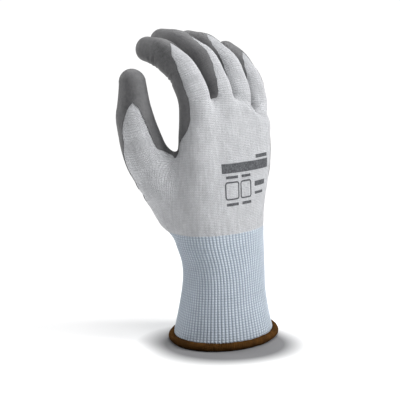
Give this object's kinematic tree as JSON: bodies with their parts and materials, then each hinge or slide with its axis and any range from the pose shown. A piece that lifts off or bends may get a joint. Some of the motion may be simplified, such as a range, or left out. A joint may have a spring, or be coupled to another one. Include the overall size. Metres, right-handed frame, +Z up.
{
  "type": "cut resistant glove",
  "caption": "Right-hand knitted work glove with a dipped grey palm and fingertips, ribbed elastic cuff and overlocked hem, fingers half curled.",
  "frame": {"origin": "centre of the hem's flat lower face, at the cuff's opening", "axes": "+Z up along the forearm towards the fingers, +Y the way the palm faces, -X the thumb side"},
  "size_m": [0.1228, 0.0923, 0.2207],
  "materials": {
    "hand_knit": "matte",
    "cuff_rib": "matte",
    "coating": "satin",
    "hem_thread": "matte",
    "elastic_yarn": "matte",
    "print_ink": "matte"
  },
  "bodies": {
    "cuff": {"hem_binding": "hem_thread", "cuff_lower_rib": "cuff_rib", "cuff_lower_elastic": "elastic_yarn"},
    "wrist": {"cuff_side_fold": "cuff_rib", "cuff_middle_rib": "cuff_rib", "cuff_middle_elastic": "elastic_yarn"},
    "hand": {"wrist_fold": "cuff_rib", "cuff_upper_rib": "cuff_rib", "cuff_upper_elastic": "elastic_yarn", "hand_knit": "hand_knit", "palm_coating": "coating", "palm_coating_apron": "coating", "back_print": "print_ink"},
    "thumb_lower": {"thumb_lower_knit": "hand_knit", "thumb_lower_coating": "coating", "thumb_lower_fold": "hand_knit"},
    "thumb_tip": {"thumb_tip_knit": "hand_knit", "thumb_tip_coating": "coating", "thumb_tip_fold": "hand_knit"},
    "index_lower": {"index_lower_knit": "hand_knit", "index_lower_coating": "coating", "index_lower_fold": "hand_knit"},
    "index_middle": {"index_middle_knit": "hand_knit", "index_middle_coating": "coating", "index_middle_fold": "hand_knit"},
    "index_tip": {"index_tip_knit": "hand_knit", "index_tip_coating": "coating", "index_tip_fold": "hand_knit"},
    "middle_lower": {"middle_lower_knit": "hand_knit", "middle_lower_coating": "coating", "middle_lower_fold": "hand_knit"},
    "middle_middle": {"middle_middle_knit": "hand_knit", "middle_middle_coating": "coating", "middle_middle_fold": "hand_knit"},
    "middle_tip": {"middle_tip_knit": "hand_knit", "middle_tip_coating": "coating", "middle_tip_fold": "hand_knit"},
    "ring_lower": {"ring_lower_knit": "hand_knit", "ring_lower_coating": "coating", "ring_lower_fold": "hand_knit"},
    "ring_middle": {"ring_middle_knit": "hand_knit", "ring_middle_coating": "coating", "ring_middle_fold": "hand_knit"},
    "ring_tip": {"ring_tip_knit": "hand_knit", "ring_tip_coating": "coating", "ring_tip_fold": "hand_knit"},
    "little_lower": {"little_lower_knit": "hand_knit", "little_lower_coating": "coating", "little_lower_fold": "hand_knit"},
    "little_middle": {"little_middle_knit": "hand_knit", "little_middle_coating": "coating", "little_middle_fold": "hand_knit"},
    "little_tip": {"little_tip_knit": "hand_knit", "little_tip_coating": "coating", "little_tip_fold": "hand_knit"}
  },
  "joints": [
    {"name": "wrist_side_bend", "type": "hinge", "parent": "cuff", "child": "wrist", "pos_m": [0, 0, 0.025], "axis": [0, 1, 0], "range_deg": [-15, 15], "deforming": ["cuff_side_fold"]},
    {"name": "wrist_flex", "type": "hinge", "parent": "wrist", "child": "hand", "pos_m": [0, 0, 0.048], "axis": [-1, 0, 0], "range_deg": [-45, 45], "deforming": ["wrist_fold"]},
    {"name": "thumb_root", "type": "hinge", "parent": "hand", "child": "thumb_lower", "pos_m": [-0.05179, 0.02685, 0.13515], "axis": [-0.1003, -0.9932, 0.0599], "range_deg": [-20, 15], "deforming": ["thumb_lower_coating", "thumb_lower_fold"]},
    {"name": "thumb_bend", "type": "hinge", "parent": "thumb_lower", "child": "thumb_tip", "pos_m": [-0.0598, 0.02903, 0.15796], "axis": [-0.1003, -0.9932, 0.0599], "range_deg": [-30, 15], "deforming": ["thumb_tip_coating", "thumb_tip_fold"]},
    {"name": "index_root_bend", "type": "hinge", "parent": "hand", "child": "index_lower", "pos_m": [-0.03594, 0.00094, 0.17344], "axis": [-0.9945, 0, -0.1045], "range_deg": [-30, 42], "deforming": ["index_lower_coating", "index_lower_fold"]},
    {"name": "index_middle_bend", "type": "hinge", "parent": "index_lower", "child": "index_middle", "pos_m": [-0.03771, 0.00915, 0.19025], "axis": [-0.9945, 0, -0.1045], "range_deg": [-30, 38], "deforming": ["index_middle_coating", "index_middle_fold"]},
    {"name": "index_tip_bend", "type": "hinge", "parent": "index_middle", "child": "index_tip", "pos_m": [-0.03886, 0.02561, 0.20125], "axis": [-0.9945, 0, -0.1045], "range_deg": [-18, 22.8], "deforming": ["index_tip_coating", "index_tip_fold"]},
    {"name": "middle_root_bend", "type": "hinge", "parent": "hand", "child": "middle_lower", "pos_m": [-0.01199, 0.00042, 0.17635], "axis": [-0.9998, 0, -0.0175], "range_deg": [-30, 42], "deforming": ["middle_lower_coating", "middle_lower_fold"]},
    {"name": "middle_middle_bend", "type": "hinge", "parent": "middle_lower", "child": "middle_middle", "pos_m": [-0.01232, 0.01127, 0.19515], "axis": [-0.9998, 0, -0.0175], "range_deg": [-30, 38], "deforming": ["middle_middle_coating", "middle_middle_fold"]},
    {"name": "middle_tip_bend", "type": "hinge", "parent": "middle_middle", "child": "middle_tip", "pos_m": [-0.01252, 0.03197, 0.20705], "axis": [-0.9998, 0, -0.0175], "range_deg": [-18, 22.8], "deforming": ["middle_tip_coating", "middle_tip_fold"]},
    {"name": "ring_root_bend", "type": "hinge", "parent": "hand", "child": "ring_lower", "pos_m": [0.01118, 0.00043, 0.17442], "axis": [-0.9994, 0, 0.0349], "range_deg": [-30, 42], "deforming": ["ring_lower_coating", "ring_lower_fold"]},
    {"name": "ring_middle_bend", "type": "hinge", "parent": "ring_lower", "child": "ring_middle", "pos_m": [0.01183, 0.00985, 0.19292], "axis": [-0.9994, 0, 0.0349], "range_deg": [-30, 38], "deforming": ["ring_middle_coating", "ring_middle_fold"]},
    {"name": "ring_tip_bend", "type": "hinge", "parent": "ring_middle", "child": "ring_tip", "pos_m": [0.01226, 0.02907, 0.20534], "axis": [-0.9994, 0, 0.0349], "range_deg": [-18, 22.8], "deforming": ["ring_tip_coating", "ring_tip_fold"]},
    {"name": "little_root_bend", "type": "hinge", "parent": "hand", "child": "little_lower", "pos_m": [0.03415, 0.00147, 0.16561], "axis": [-0.9925, 0, 0.1219], "range_deg": [-30, 42], "deforming": ["little_lower_coating", "little_lower_fold"]},
    {"name": "little_middle_bend", "type": "hinge", "parent": "little_lower", "child": "little_middle", "pos_m": [0.03613, 0.00673, 0.18175], "axis": [-0.9925, 0, 0.1219], "range_deg": [-30, 38], "deforming": ["little_middle_coating", "little_middle_fold"]},
    {"name": "little_tip_bend", "type": "hinge", "parent": "little_middle", "child": "little_tip", "pos_m": [0.03777, 0.01888, 0.19511], "axis": [-0.9925, 0, 0.1219], "range_deg": [-18, 22.8], "deforming": ["little_tip_coating", "little_tip_fold"]}
  ],
  "couplings": [
    {"joint": "index_tip_bend", "follows": "index_middle_bend", "ratio": 0.6},
    {"joint": "middle_tip_bend", "follows": "middle_middle_bend", "ratio": 0.6},
    {"joint": "ring_tip_bend", "follows": "ring_middle_bend", "ratio": 0.6},
    {"joint": "little_tip_bend", "follows": "little_middle_bend", "ratio": 0.6}
  ]
}
